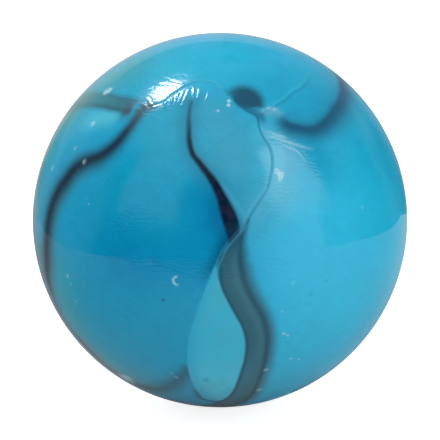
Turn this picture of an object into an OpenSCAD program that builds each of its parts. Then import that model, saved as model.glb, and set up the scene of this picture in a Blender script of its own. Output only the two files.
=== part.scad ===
// Glass marble: one ball of opaque turquoise glass with dark streaks swirled into it.
// The origin is the ball's centre. Where the hot glass folded over itself when the
// gob was cut off, it left a seam with a puckered scar beside it, which face the front.
// A place on the ball is [azimuth, elevation] in degrees: azimuth 0 faces -Y and
// grows towards +X, and elevation 90 is the top.

/* [Ball] */
// Diameter of the ball
ball_d = 25; // [14:0.5:50]

/* [Fold seam] */
// Width of the seam's groove at the surface
seam_w = 0.16; // [0.1:0.02:0.4]
// Depth of the seam's groove
seam_depth = 0.06; // [0.04:0.01:0.16]

/* [Cut-off scar] */
// Width of one wrinkle of the scar
wrinkle_w = 0.14; // [0.08:0.02:0.24]
// Depth of one wrinkle of the scar
wrinkle_depth = 0.04; // [0.02:0.01:0.1]

/* [Streaks] */
// How far the streaks' glass stands proud, for each layer that lies over another
streak_relief = 0.01; // [0.005:0.005:0.03]

/* [Impact marks] */
// Width of the round moon that a knock left below the middle
moon_w = 0.6; // [0.3:0.05:1]
// Depth of the moon
moon_depth = 0.06; // [0.03:0.01:0.15]
// Width of the smaller pits
pit_w = 0.3; // [0.15:0.05:0.5]
// Depth of the smaller pits
pit_depth = 0.04; // [0.02:0.01:0.1]

/* [Hidden] */

ball_r = ball_d / 2;
// How far the streaks reach into the glass
streak_depth = ball_r / 12;
// The streaks' order from the lowest layer up
pale_layer = 1;
smoky_layer = 2;
dark_layer = 3;
// How far the streaks' cutters stand out of the glass
streak_stand = ball_r / 20;
// How far the grooves' cutters stand out of the glass
groove_stand = ball_r / 200;
// Share of a groove's length that narrows at an open end, and what is left at its tip
taper_share = 0.12;
tip_share = 0.2;
// Rings between two points of a route
seam_rings = 2;
wrinkle_rings = 2;
streak_rings = 2;
// Facets of the round forms
ball_facets = 180;
pit_facets = 36;

turquoise = [0.10, 0.60, 0.77];
pale_teal = [0.25, 0.70, 0.79];
smoke = [0.22, 0.40, 0.47];
ink = [0.08, 0.10, 0.20];
shade = [0.12, 0.50, 0.64];

// The seam climbs over the scar, turns down the front and ends beside the drop
seam_route = [
    [-34.5, 50.5], [-29.5, 52.5], [-26, 56], [-20.5, 60], [-12, 62.5], [-3.5, 61.5],
    [3, 58], [7.5, 54.5], [12, 51], [16.5, 48.5], [16.5, 45], [17, 42], [18.5, 39],
    [19, 36], [18.5, 32.5], [17, 29], [15, 25], [10, 19], [8, 16], [4.5, 12.5],
    [1.5, 9], [0, 6], [-2, 1.5], [-4.5, -2.5], [-6, -8], [-7.5, -13], [-9.5, -18],
    [-11, -24.5], [-12.5, -33], [-11, -42], [-7.5, -50]
];
// A thinner seam that leaves it at its corner and runs over the right shoulder
branch_route = [
    [16.5, 48.5], [23, 50.5], [27.5, 51.5], [34, 53], [41.5, 55], [50, 56],
    [59, 57.5], [70, 59], [82, 60]
];
branch_share = 0.6;

// Wrinkles of the scar, each from its upper to its lower end
scar_wrinkles = [
    [[-28, 53], [-26.5, 51]], [[-25.5, 55], [-24.5, 52.5]], [[-23, 56.5], [-22.5, 53]],
    [[-20.5, 57.5], [-21, 53]], [[-18, 58.5], [-18.5, 52.5]], [[-15.5, 59.5], [-14, 56]],
    [[-12, 59.5], [-11.5, 55]], [[-7, 58], [-7.5, 53]], [[-7.5, 51], [-5.5, 47.5]]
];
// Long wrinkles that leave the seam towards the right
right_wrinkles = [
    [[18.5, 43.5], [23.5, 41.5], [27, 40.5]],
    [[18, 42], [22, 41], [25.5, 39.5], [29.5, 38], [36, 35.5]],
    [[23.5, 39.5], [26, 37.5], [29, 36], [31.5, 32.5]]
];

moon_place = [-12.5, -1.5];
pit_places = [
    [4.5, 54.5], [4, 53], [-1, 51], [20.5, 29], [-59.5, 40], [-61.5, 31], [-52.5, 28.5],
    [-68.5, 50.5], [-40.5, -43.5], [21, -20], [49.5, 15], [-53, -7], [-17, -8]
];

// Streaks: [azimuth, elevation, half width in degrees of arc]
left_vein = [
    [-34.5, 50.5, 0.8], [-38, 49.5, 1.6], [-38.5, 46.5, 1.2], [-39, 43.5, 1],
    [-40, 40, 1], [-41.5, 37, 1], [-44, 34, 1.1], [-47, 31.5, 1.2], [-51, 29.5, 1.4],
    [-54.5, 27.5, 1.7], [-57.5, 24.5, 1.8], [-59.5, 21, 1.9], [-61.5, 18, 2],
    [-63.5, 13.5, 2.1], [-64.5, 9, 2.2], [-65, 5, 2.3], [-65.5, 0, 2.5], [-65.5, -5, 2.8],
    [-65.5, -11, 3], [-65.5, -18, 3], [-65, -25, 3], [-63, -31, 3.2], [-60, -36, 3.4],
    [-56.5, -41, 3.6], [-52, -45.5, 3.6], [-46, -49, 3.6], [-38.5, -51, 3.4],
    [-29, -49, 3.2], [-21, -44.5, 3], [-15.5, -39.5, 2.6], [-12, -35, 1.6]
];
middle_vein = [
    [-14.5, 54, 0.4], [-14, 49, 0.5], [-13, 45, 0.6], [-12, 40.5, 0.7], [-10, 36.5, 0.7],
    [-7.5, 34, 0.8], [-4.5, 31, 0.9], [-2, 28, 1.1], [0, 24.5, 1.3], [1.5, 21, 1.6],
    [2.8, 17.5, 1.7], [3.8, 14.5, 1.5], [4, 12.5, 0.8]
];
// It widens below the seam, runs down beside the drop and under the ball to the back
wide_ribbon = [
    [9, 17, 0.2], [8, 15, 0.4], [7.2, 13.7, 0.6], [6.3, 12, 1.1], [5.4, 10, 1.8],
    [4.8, 7.9, 2.7], [4, 5, 3.9], [4.2, 2, 4.2], [4.9, -1.7, 4.3], [6.5, -5.6, 4.2],
    [8.4, -9.5, 4.2],
    [11, -14.5, 4.2], [12.8, -21, 4.1], [13.2, -28, 4], [13, -34, 4.1], [12.6, -40, 4.1],
    [12.2, -46, 4.1], [10.6, -53, 4.2], [5, -60, 4.2], [-8, -68, 4.2], [-45, -76, 4],
    [-110, -76, 4], [-142, -66, 3.8], [-150, -54, 3.4], [-154, -42, 3],
    [-156, -30, 2.6], [-163, -18, 2.2], [-175, -10, 1.6], [173, -6, 0.8]
];
drop = [
    [-1.5, 3, 0.3], [-1.8, 0.5, 1], [-1.9, -4.2, 2.7], [-1.9, -6.8, 3.7],
    [-1.8, -9.4, 4.8], [-1.4, -13, 6.2], [-1, -17.3, 7.9], [-0.9, -22, 8.6],
    [-1.1, -27.8, 8.7], [-1.7, -34.2, 8.1], [-1.9, -40.6, 7], [-1.7, -46.9, 5.5],
    [-1.8, -52, 3.3], [-1.8, -54.5, 1.6]
];
spot = [
    [5, 58, 0.6], [8, 58, 2], [12, 57, 3.2], [16, 55.2, 3.4], [18.8, 53.4, 2.2],
    [20, 52, 0.8]
];
crescent = [
    [25.5, 48, 0.4], [27.5, 45.5, 1.1], [30, 43.5, 1.5], [34, 42, 1.8], [38, 41, 2],
    [43.5, 41, 2.2], [50.5, 42.5, 2.2], [58.5, 44.5, 2.2], [67, 46, 2.3], [77, 47.5, 2.5],
    [89, 49, 2.8], [103, 49, 3], [118, 46, 3], [131, 40, 2.8], [140, 31, 2.4],
    [145, 20, 2], [147, 8, 1.4], [146, -3, 0.6]
];
shoulder_band = [
    [-42.5, 49.4, 2.4], [-45, 49.2, 2.8], [-49, 49, 2.8], [-55, 48.5, 2.8],
    [-63, 47.8, 2.8], [-75, 45.5, 3], [-88, 41, 3.4], [-101, 34, 3.4], [-112, 25, 3.4],
    [-121, 14, 3], [-127, 2, 2.4], [-130, -10, 1.6], [-131, -20, 0.6]
];
shoulder_drop = [
    [-45.5, 45.5, 0.6], [-49, 45, 1.8], [-54, 44, 2.6], [-60, 42, 3], [-66, 39, 2.6],
    [-71, 36, 1.4], [-74, 34, 0.5]
];

// Unit vector to a place
function direction(place) = [
    cos(place[1]) * sin(place[0]),
    -cos(place[1]) * cos(place[0]),
    sin(place[1])
];
function unit(v) = v / norm(v);

// Point of a smooth curve through b and c, with neighbours a and d
function between(a, b, c, d, t) =
    b + t * (c - a) / 2 + t * t * (2 * a - 5 * b + 4 * c - d) / 2
    + t * t * t * (3 * b - a - 3 * c + d) / 2;

// The list's item at i, or its first or last one outside it
function item(list, i) = list[max(0, min(len(list) - 1, i))];

// Values along the smooth curve through a list, with as many steps for each gap
function smooth(list, steps) = [
    for (i = [0 : len(list) - 2], k = [0 : (i == len(list) - 2 ? steps : steps - 1)])
        between(item(list, i - 1), item(list, i), item(list, i + 1), item(list, i + 2),
            k / steps)
];
function path(route, steps) = [
    for (v = smooth([for (place = route) direction(place)], steps)) unit(v)
];

// Unit vector across the path, to its right when seen from outside
function across(way, i) = unit(cross(item(way, i + 1) - item(way, i - 1), way[i]));

// Closed body through rings of as many points each
module loft(rings) {
    sides = len(rings[0]);
    last = len(rings) - 1;
    walls = [
        for (i = [0 : last - 1], k = [0 : sides - 1])
            let (
                a = i * sides + k,
                b = i * sides + (k + 1) % sides
            )
            each [[a, b + sides, b], [a, a + sides, b + sides]]
    ];
    start = [[for (k = [0 : sides - 1]) k]];
    end = [[for (k = [sides - 1 : -1 : 0]) last * sides + k]];
    polyhedron(
        points = [for (ring = rings) each ring],
        faces = concat(walls, start, end)
    );
}

// V-shaped groove cutter that narrows at its open ends
module groove(route, width, depth, steps) {
    way = path(route, steps);
    last = len(way) - 1;
    loft([
        for (i = [0 : last])
            let (
                from_end = min(i, last - i) / last / taper_share,
                share = tip_share + (1 - tip_share) * min(1, from_end),
                half = share * width / 2 * (depth + groove_stand) / depth,
                top = (ball_r + groove_stand) * way[i],
                side = half * across(way, i)
            )
            [top - side, top + side, (ball_r - share * depth) * way[i]]
    ]);
}

// Ribbon under the surface that a streak fills
module streak(route) {
    way = path(route, streak_rings);
    halves = smooth([for (point = route) point[2]], streak_rings);
    loft([
        for (i = [0 : len(way) - 1])
            let (
                side = sin(halves[i]) * across(way, i),
                left = cos(halves[i]) * way[i] - side,
                right = cos(halves[i]) * way[i] + side,
                low = ball_r - streak_depth,
                high = ball_r + streak_stand
            )
            [high * left, high * right, low * right, low * left]
    ]);
}

// Shallow round dish cutter of a given width at the surface
module dish(place, width, depth) {
    dish_r = (width * width / 4 + depth * depth) / (2 * depth);
    translate((ball_r + dish_r - depth) * direction(place))
        sphere(r = dish_r, $fn = pit_facets);
}

module ball() {
    sphere(d = ball_d, $fn = ball_facets);
}

// A streak cut off to the ball's form, which stands proud as its layer does
module surfaced(route, layer) {
    intersection() {
        sphere(r = ball_r + layer * streak_relief, $fn = ball_facets);
        streak(route);
    }
}

// The pale glass lies lowest and the dark veins lie over all
module pale_streaks() {
    color(pale_teal) {
        surfaced(drop, pale_layer);
        surfaced(shoulder_drop, pale_layer);
    }
}

module smoky_streaks() {
    color(smoke) {
        surfaced(wide_ribbon, smoky_layer);
        surfaced(spot, smoky_layer);
        surfaced(crescent, smoky_layer);
        surfaced(shoulder_band, smoky_layer);
    }
}

module dark_streaks() {
    color(ink) {
        surfaced(left_vein, dark_layer);
        surfaced(middle_vein, dark_layer);
    }
}

module fold_seam() {
    groove(seam_route, seam_w, seam_depth, seam_rings);
    groove(branch_route, branch_share * seam_w, branch_share * seam_depth, seam_rings);
}

module cut_off_scar() {
    for (route = concat(scar_wrinkles, right_wrinkles))
        groove(route, wrinkle_w, wrinkle_depth, wrinkle_rings);
}

module impact_marks() {
    dish(moon_place, moon_w, moon_depth);
    for (place = pit_places)
        dish(place, pit_w, pit_depth);
}

module marble() {
    difference() {
        union() {
            color(turquoise) ball();
            pale_streaks();
            smoky_streaks();
            dark_streaks();
        }
        color(shade) {
            fold_seam();
            cut_off_scar();
            impact_marks();
        }
    }
}

marble();
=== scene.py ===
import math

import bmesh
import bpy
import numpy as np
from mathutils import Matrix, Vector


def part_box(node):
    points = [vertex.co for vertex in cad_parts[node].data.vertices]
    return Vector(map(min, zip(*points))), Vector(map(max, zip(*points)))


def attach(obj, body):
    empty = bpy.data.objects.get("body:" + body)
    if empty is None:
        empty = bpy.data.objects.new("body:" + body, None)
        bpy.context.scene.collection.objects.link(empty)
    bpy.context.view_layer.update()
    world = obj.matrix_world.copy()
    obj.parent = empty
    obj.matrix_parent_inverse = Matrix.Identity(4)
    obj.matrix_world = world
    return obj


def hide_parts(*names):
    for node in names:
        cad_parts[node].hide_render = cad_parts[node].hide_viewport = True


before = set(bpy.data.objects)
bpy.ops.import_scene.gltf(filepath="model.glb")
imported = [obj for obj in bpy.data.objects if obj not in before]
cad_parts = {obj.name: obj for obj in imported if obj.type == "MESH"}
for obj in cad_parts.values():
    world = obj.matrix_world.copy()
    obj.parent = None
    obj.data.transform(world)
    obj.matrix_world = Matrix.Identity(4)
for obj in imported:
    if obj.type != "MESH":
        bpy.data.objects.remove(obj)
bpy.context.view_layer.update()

# The looks of a glass marble: opaque turquoise glass with dark and pale streaks
# swirled into its skin, a fold seam with the puckered scar of the cut-off beside it,
# small knocks, and a clean fire-polished gloss.
#
# A place on the ball is (azimuth, elevation) in degrees, as in the part's source:
# azimuth 0 faces -Y and grows towards +X. Sizes on the ball are in millimetres, and
# colours are linear RGB. The right of a route is the right-hand side of someone who walks
# it on the ball: on a route that runs down the front, that is the viewer's left.

MM = 0.001


# ---------------------------------------------------------------- driving sizes

LOW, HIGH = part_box("marble")
CENTRE = (LOW + HIGH) / 2
BALL_R = min(HIGH - LOW) / 2
BALL_MM = BALL_R / MM

# The seam's groove, with a low lip on its left that stops with it, and its shallower branch
SEAM_WIDTH = 0.15
SEAM_DEPTH = 0.035
SEAM_LIP = 0.006
LIP_REACH = 1.0
BRANCH_SHARE = 0.6
# Each end tapers over this share of the length, down to this share of the depth
TAPER_LENGTH = 0.05
TAPER_END = 0.15
# A wrinkle is highest half way. Its height follows a power of a sine along it, which stays
# level over a share of the length at each end.
WRINKLE_WIDTH = 0.17
WRINKLE_HEIGHT = 0.023
SCRATCH_HEIGHT = 0.018
WRINKLE_END = 0.08
WRINKLE_SWELL = 0.6
KNOCK_DEPTH = 0.006
MOON_DEPTH = 0.03

# Edge length of the plain ball is about 0.24 mm, and each level halves it within its
# distance from a fine feature. The last level is only for the finest ones.
BASE_SUBDIVISIONS = 7
FINE_BANDS = (0.42, 0.24, 0.13)
# Step between a route's samples, and the distance past which a route has no effect
SAMPLE_STEP = 0.2
FAR = 6.0
# How many points are held against a route at a time
BATCH = 4000
# Distance over which the relief's slope is taken
SLOPE_REACH = 0.01

# The camera's elevation in degrees, its distance in m, and the width of its sensor in mm
VIEW_ELEVATION = 17
CAMERA_DISTANCE = 20 * BALL_R
SENSOR = 36.0
# Share of the half picture that the ball's radius fills
FRAME_FILL = 0.8515
CLIP_START = CAMERA_DISTANCE / 100
CLIP_END = 100


# ---------------------------------------------------------------- routes

SEAM = (
    (-34.5, 50.5), (-29.5, 52.5), (-26, 56), (-20.5, 60), (-12, 62.5), (-3.5, 61.5),
    (3, 58), (7.5, 54.5), (12, 51), (16.5, 48.5), (16.5, 45), (17, 42), (18.5, 39),
    (19, 36), (18.5, 32.5), (17, 29), (15, 25), (10, 19), (8, 16), (4.5, 12.5),
    (1.5, 9), (0, 6), (-2, 1.5), (-4.5, -2.5), (-6, -8), (-7.5, -13), (-9.5, -18),
    (-11, -24.5), (-12.5, -33), (-11, -42), (-7.5, -50),
)
BRANCH = (
    (16.5, 48.5), (23, 50.5), (27.5, 51.5), (34, 53), (41.5, 55), (50, 56),
    (59, 57.5), (70, 59), (82, 60),
)
SCAR_WRINKLES = (
    ((-28, 53), (-26.5, 51)), ((-25.5, 55), (-24.5, 52.5)), ((-23, 56.5), (-22.5, 53)),
    ((-20.5, 57.5), (-21, 53)), ((-18, 58.5), (-18.5, 52.5)), ((-15.5, 59.5), (-14, 56)),
    ((-12, 59.5), (-11.5, 55)),
)
RIGHT_WRINKLES = (
    ((18.5, 43.5), (23.5, 41.5), (27, 40.5)),
    ((18, 42), (22, 41), (25.5, 39.5), (29.5, 38), (36, 35.5)),
    ((23.5, 39.5), (26, 37.5), (29, 36), (31.5, 32.5)),
)
# Lower strokes: the right end of the scar, then three scratches
SCRATCHES = (
    ((-6.5, 58.5), (-7, 55.5), (-8, 51.5)), ((-5.6, 58), (-6.2, 55)),
    ((-7.5, 51), (-5.5, 47.5)), ((-8, 50), (-7, 46.5), (-4.5, 44)),
    ((-17, 27), (-14, 24), (-11.5, 23)), ((-11, 14), (-8, 13.5), (-6.5, 12)),
)
# A knock that left a ring, open on one side: azimuth, elevation, radius
MOON = (-12.5, -1.5, 0.28)
# Knocks and specks: azimuth, elevation, radius, tone (whitish over 0 and dark under it). On the
# first two, and on the fourth to the sixth, the whitish tone is a painted highlight.
KNOCKS = (
    (4.5, 54.7, 0.12, 1.8), (4.1, 53.1, 0.12, 1.8), (-1, 51, 0.12, 1), (19.6, 30.6, 0.16, 1.8),
    (20.8, 29.4, 0.22, 1.5), (20.3, 28, 0.14, 1.2),
    (-59.5, 40, 0.26, 0.9), (-61.5, 31, 0.18, 0.6), (-53, 28.5, 0.22, 0.8),
    (-69, 50.5, 0.34, 1.1), (-67.5, 51.5, 0.22, 0.9), (-71.5, 22, 0.26, 0.6),
    (-46.5, -47.5, 0.55, 1.4), (-44, -45.5, 0.3, 1), (-48.5, -46.5, 0.3, 1),
    (-53, -7, 0.18, 0.7), (-52, -9.5, 0.14, 0.5), (-51, -15, 0.12, 0.5),
    (20.5, -20, 0.18, 0.8), (22, -21, 0.13, 0.7), (17, -35, 0.2, 0.8), (25.5, -31, 0.15, 0.7),
    (17.5, -47, 0.24, 0.8), (29, -32, 0.14, 0.7), (19, -12, 0.1, 0.6), (22, -3, 0.16, 0.5),
    (-17, -39, 0.2, 0.6), (-18.5, -37, 0.16, 0.5), (26, 50.5, 0.3, 0.6), (23, 51, 0.16, 0.6),
    (-4.8, -38.5, 0.3, -0.3), (-5.8, -40, 0.3, -0.3), (49.5, 15, 0.16, 0.5),
    (28, -7.5, 0.3, -0.35), (33, -4, 0.16, -0.4), (-17, -8, 0.13, -0.9), (-45, 17, 0.1, 0.6),
)

# Streaks: (azimuth, elevation, half width in degrees of arc)
LEFT_VEIN = (
    (-34.5, 50.5, 0.8), (-37.2, 49.2, 1.6), (-38, 46.5, 1.2), (-38.6, 43.5, 1),
    (-40, 40, 1), (-41.5, 37, 1), (-44, 34, 1.1), (-47, 31.5, 1.2), (-51, 29.5, 1.4),
    (-54.5, 27.5, 1.7), (-57.5, 24.5, 1.8), (-59.5, 21, 1.9), (-61.5, 18, 2),
    (-63.5, 13.5, 2.1), (-64.5, 9, 2.2), (-65, 5, 2.3), (-65.5, 0, 2.5), (-66.2, -5, 2.8),
    (-68, -11, 3), (-68.5, -18, 3), (-67, -25, 3), (-63.3, -31, 3.2), (-59.5, -36, 3.4),
    (-56.5, -41, 3.6), (-52, -45.5, 3.6), (-46, -49, 3.6), (-38.5, -51, 3.4),
    (-29, -49, 3.2), (-21, -44.5, 3), (-15.5, -39.5, 2.6), (-12, -35, 1.6),
)
MIDDLE_VEIN = (
    (-14.5, 54, 0.4), (-14, 49, 0.5), (-13, 45, 0.6), (-12, 40.5, 0.7), (-10, 36.5, 0.7),
    (-7.5, 34, 0.8), (-4.5, 31, 0.9), (-2, 28, 1.1), (0, 24.5, 1.3), (1.6, 21, 1.75),
    (3, 17.5, 2.1), (3.8, 14.5, 1.9), (4, 12, 1.5), (4.2, 10, 1.2),
)
WIDE_RIBBON = (
    (9, 17, 0.2), (8, 15, 0.4), (7.2, 13.7, 0.6), (6.3, 12, 1.1), (5.4, 10, 1.8),
    (4.8, 7.9, 2.7), (4, 5, 3.9), (4.2, 2, 4.2), (4.9, -1.7, 4.3), (6.5, -5.6, 4.2),
    (8.4, -9.5, 4.2), (11, -14.5, 4.2), (12.8, -21, 4.1), (13.2, -28, 4), (13, -34, 4.1),
    (12.6, -40, 4.1), (12.2, -46, 4.1), (10.6, -53, 4.2), (5, -60, 4.2), (-8, -68, 4.2),
    (-45, -76, 4), (-110, -76, 4), (-142, -66, 3.8), (-150, -54, 3.4), (-154, -42, 3),
    (-156, -30, 2.6), (-163, -18, 2.2), (-175, -10, 1.6), (173, -6, 0.8),
)
DROP = (
    (-1.5, 3, 0.3), (-1.8, 0.5, 1), (-1.9, -4.2, 2.7), (-1.9, -6.8, 3.7),
    (-1.8, -9.4, 4.8), (-1.4, -13, 6.2), (-1, -17.3, 7.9), (-0.9, -22, 8.6),
    (-1.1, -27.8, 8.7), (-1.7, -34.2, 8.1), (-1.9, -40.6, 7), (-1.7, -46.9, 5.6),
    (-1.8, -50.4, 4.5),
)
SPOT = (
    (5, 58, 0.6), (8, 58, 2), (12, 57, 3.2), (16, 55.2, 3.4), (18.8, 53.4, 2.2),
    (20, 52, 0.8),
)
CRESCENT = (
    (25.5, 48, 0.4), (27.5, 45.5, 1.1), (30, 43.5, 1.5), (34, 42, 1.8), (38, 41, 2),
    (43.5, 41, 2.2), (50.5, 42.5, 2.2), (58.5, 44.5, 2.2), (67, 46, 2.3), (77, 47.5, 2.5),
    (89, 49, 2.8), (103, 49, 3), (118, 46, 3), (131, 40, 2.8), (140, 31, 2.4),
    (145, 20, 2), (147, 8, 1.4), (146, -3, 0.6),
)
SHOULDER_BAND = (
    (-42.5, 49.4, 2.4), (-45, 49.2, 2.8), (-49, 49, 2.8), (-55, 48.5, 2.8),
    (-63, 47.8, 2.8), (-75, 45.5, 3), (-88, 41, 3.4), (-101, 34, 3.4), (-112, 25, 3.4),
    (-121, 14, 3), (-127, 2, 2.4), (-130, -10, 1.6), (-131, -20, 0.6),
)
SHOULDER_DROP = (
    (-45.5, 45.5, 0.6), (-49, 45, 1.8), (-54, 44, 2.6), (-60, 42, 3), (-66, 39, 2.6),
    (-71, 36, 1.4), (-74, 34, 0.5),
)


# ---------------------------------------------------------------- curves on the ball

def direction(azimuth, elevation):
    a, e = math.radians(azimuth), math.radians(elevation)
    return np.array((math.cos(e) * math.sin(a), -math.cos(e) * math.cos(a), math.sin(e)))


def unit(rows):
    return rows / np.linalg.norm(rows, axis=-1, keepdims=True)


def smooth_curve(values, steps):
    """Points of the smooth curve through the values, with as many steps for each gap."""
    padded = np.vstack([values[:1], values, values[-1:]])
    out = []
    for i in range(len(values) - 1):
        a, b, c, d = padded[i:i + 4]
        for t in np.arange(steps) / steps:
            out.append(b + t * (c - a) / 2 + t * t * (2 * a - 5 * b + 4 * c - d) / 2
                       + t ** 3 * (3 * b - a - 3 * c + d) / 2)
    return np.array(out + [values[-1]])


class Way:
    """A route over the ball, as close samples with their tangents, sides and half widths."""

    def __init__(self, route):
        places = np.array([direction(p[0], p[1]) for p in route])
        halves = np.array([[p[2] if len(p) > 2 else 0.0] for p in route])
        gap = BALL_MM * np.linalg.norm(np.diff(places, axis=0), axis=1).mean()
        steps = max(2, round(gap / SAMPLE_STEP))
        self.points = unit(smooth_curve(places, steps))
        self.halves = np.radians(smooth_curve(halves, steps)[:, 0]) * BALL_MM
        self.tangents = unit(np.gradient(self.points, axis=0))
        self.sides = unit(np.cross(self.tangents, self.points))
        self.step = BALL_MM * np.linalg.norm(np.diff(self.points, axis=0), axis=1).mean()
        self.slopes = np.gradient(self.halves) / self.step

    def near(self, spots):
        """For each spot: its distance from the line, its offset to the right of travel and
        the half width there, in mm, and the share along the line. Off the ends the half
        width shrinks, so that an end is round, and far from the line it is below zero."""
        nearest = np.concatenate([
            (part @ self.points.T).argmax(1)
            for part in np.array_split(spots, max(1, len(spots) // BATCH))
        ])
        offset = BALL_MM * (spots - self.points[nearest])
        right = np.einsum("ij,ij->i", offset, self.sides[nearest])
        ahead = np.einsum("ij,ij->i", offset, self.tangents[nearest])
        last = len(self.points) - 1
        past = ((nearest == 0) & (ahead < 0)) | ((nearest == last) & (ahead > 0))
        away = np.where(past, np.hypot(right, ahead), np.abs(right))
        half = self.halves[nearest] + np.where(past, 0, self.slopes[nearest] * ahead)
        half = half - (away - np.abs(right))
        chord = np.linalg.norm(offset, axis=1)
        far = chord > FAR
        share = np.clip((nearest + np.where(past, 0, ahead) / self.step) / last, 0, 1)
        return np.where(far, chord, away), right, np.where(far, -FAR, half), share


def distance_to(spots, azimuth, elevation):
    return BALL_MM * np.linalg.norm(spots - direction(azimuth, elevation), axis=1)


def bell(distance, width):
    return np.exp(-(distance / width) ** 2)


def moon_ring(spots):
    """Distance of each spot from the moon's ring."""
    azimuth, elevation, radius = MOON
    return distance_to(spots, azimuth, elevation) - radius


def moon_part(spots, towards, level, slope):
    """How much of the ring is there: a level that grows or falls towards a direction."""
    offset = (spots - direction(*MOON[:2])) @ direction(*towards)
    return np.clip(level + slope * offset, 0, 1)


# ---------------------------------------------------------------- the ball's mesh

SEAM_WAY = Way(SEAM)
BRANCH_WAY = Way(BRANCH)
WRINKLE_WAYS = [(Way(route), WRINKLE_HEIGHT) for route in SCAR_WRINKLES + RIGHT_WRINKLES]
WRINKLE_WAYS += [(Way(route), SCRATCH_HEIGHT) for route in SCRATCHES]


def relief(spots):
    """Height of the glass over the true ball at each spot, in mm."""
    height = np.zeros(len(spots))
    for way, share in ((SEAM_WAY, 1.0), (BRANCH_WAY, BRANCH_SHARE)):
        away, right, _, along = way.near(spots)
        ends = np.clip(np.minimum(along, 1 - along) / TAPER_LENGTH, TAPER_END, 1)
        lip = bell(right + SEAM_WIDTH, SEAM_WIDTH) * (away < LIP_REACH)
        height -= share * ends * SEAM_DEPTH * bell(away, SEAM_WIDTH / 2)
        height += share * ends * SEAM_LIP * lip
    for way, top in WRINKLE_WAYS:
        away, _, _, along = way.near(spots)
        swell = np.sin(np.pi * np.clip(along, WRINKLE_END, 1 - WRINKLE_END)) ** WRINKLE_SWELL
        height += swell * top * bell(away, WRINKLE_WIDTH / 2)
    for azimuth, elevation, radius, _ in KNOCKS:
        height -= KNOCK_DEPTH * bell(distance_to(spots, azimuth, elevation), radius / 2)
    azimuth, _, radius = MOON
    deeper = moon_part(spots, (azimuth + 40, -60), 0.4, 30)
    return height - MOON_DEPTH * bell(moon_ring(spots), radius / 3) * deeper


def fine_distance(spots):
    """Distance in mm from the nearest fine feature, and from the nearest of the finest."""
    lines = np.minimum(SEAM_WAY.near(spots)[0], BRANCH_WAY.near(spots)[0])
    finest = np.min([way.near(spots)[0] for way, _ in WRINKLE_WAYS], axis=0)
    for azimuth, elevation, radius, *_ in (*KNOCKS, MOON):
        finest = np.minimum(finest, distance_to(spots, azimuth, elevation) - radius)
    return np.minimum(lines, finest), finest


def split(points, faces, chosen):
    """Cuts each chosen edge of a triangle mesh of the unit ball in half."""
    edges = np.sort(np.stack([faces, np.roll(faces, -1, 1)], -1).reshape(-1, 2), 1)
    pairs, index = np.unique(edges, axis=0, return_inverse=True)
    middles = unit(points[pairs].mean(1))
    cut = chosen(middles)
    number = np.full(len(pairs), -1)
    number[cut] = len(points) + np.arange(cut.sum())
    points = np.vstack([points, middles[cut]])
    middle = number[index.reshape(-1, 3)]
    count = (middle >= 0).sum(1)
    parts = [faces[count == 0]]
    a, b, c = faces[count == 3].T
    ab, bc, ca = middle[count == 3].T
    parts += [np.stack(t, 1) for t in ((a, ab, ca), (ab, b, bc), (ca, bc, c), (ab, bc, ca))]
    for turn in range(3):
        corners, middles_here = np.roll(faces, -turn, 1), np.roll(middle, -turn, 1)
        one = (count == 1) & (middles_here[:, 0] >= 0)
        a, b, c = corners[one].T
        ab = middles_here[one, 0]
        parts += [np.stack(t, 1) for t in ((a, ab, c), (ab, b, c))]
        two = (count == 2) & (middles_here[:, 0] < 0)
        a, b, c = corners[two].T
        _, bc, ca = middles_here[two].T
        parts += [np.stack(t, 1) for t in ((c, ca, bc), (a, b, bc), (a, bc, ca))]
    return points, np.vstack(parts)


def ball_points():
    """Unit ball as triangles, finer where the seam, the wrinkles and the knocks lie."""
    ball = bmesh.new()
    bmesh.ops.create_icosphere(ball, subdivisions=BASE_SUBDIVISIONS, radius=1)
    points = unit(np.array([v.co for v in ball.verts]))
    faces = np.array([[v.index for v in f.verts] for f in ball.faces])
    ball.free()
    for level, band in enumerate(FINE_BANDS):
        finest_only = level == len(FINE_BANDS) - 1
        points, faces = split(
            points, faces, lambda spots: fine_distance(spots)[finest_only] < band)
    return points, faces


def ball_normals(spots):
    """Normals of the relief, from its slope along two directions across each spot."""
    off_axis = np.where(np.abs(spots[:, 2:]) < 0.9, (0, 0, 1), (1, 0, 0))
    first = unit(np.cross(off_axis, spots))
    second = np.cross(spots, first)
    normals = spots.copy()
    for side in (first, second):
        step = side * SLOPE_REACH / BALL_MM
        rise = (relief(unit(spots + step)) - relief(unit(spots - step))) / (2 * SLOPE_REACH)
        normals -= rise[:, None] * side
    return unit(normals)


def make_mesh(name):
    spots, faces = ball_points()
    mesh = bpy.data.meshes.new(name)
    places = np.array(CENTRE) + spots * (BALL_R + relief(spots)[:, None] * MM)
    mesh.from_pydata(places, [], faces.tolist())
    mesh.shade_smooth()
    mesh.normals_split_custom_set_from_vertices(ball_normals(spots))
    return mesh, spots


# ---------------------------------------------------------------- painted fields

STREAKS = {
    "branch": BRANCH,
    "left_vein": LEFT_VEIN,
    "middle_vein": MIDDLE_VEIN,
    "wide_ribbon": WIDE_RIBBON,
    "drop": DROP,
    "spot": SPOT,
    "crescent": CRESCENT,
    "shoulder_band": SHOULDER_BAND,
    "shoulder_drop": SHOULDER_DROP,
    "seam": SEAM,
}

BODY = (0.002, 0.352, 0.60)
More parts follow.
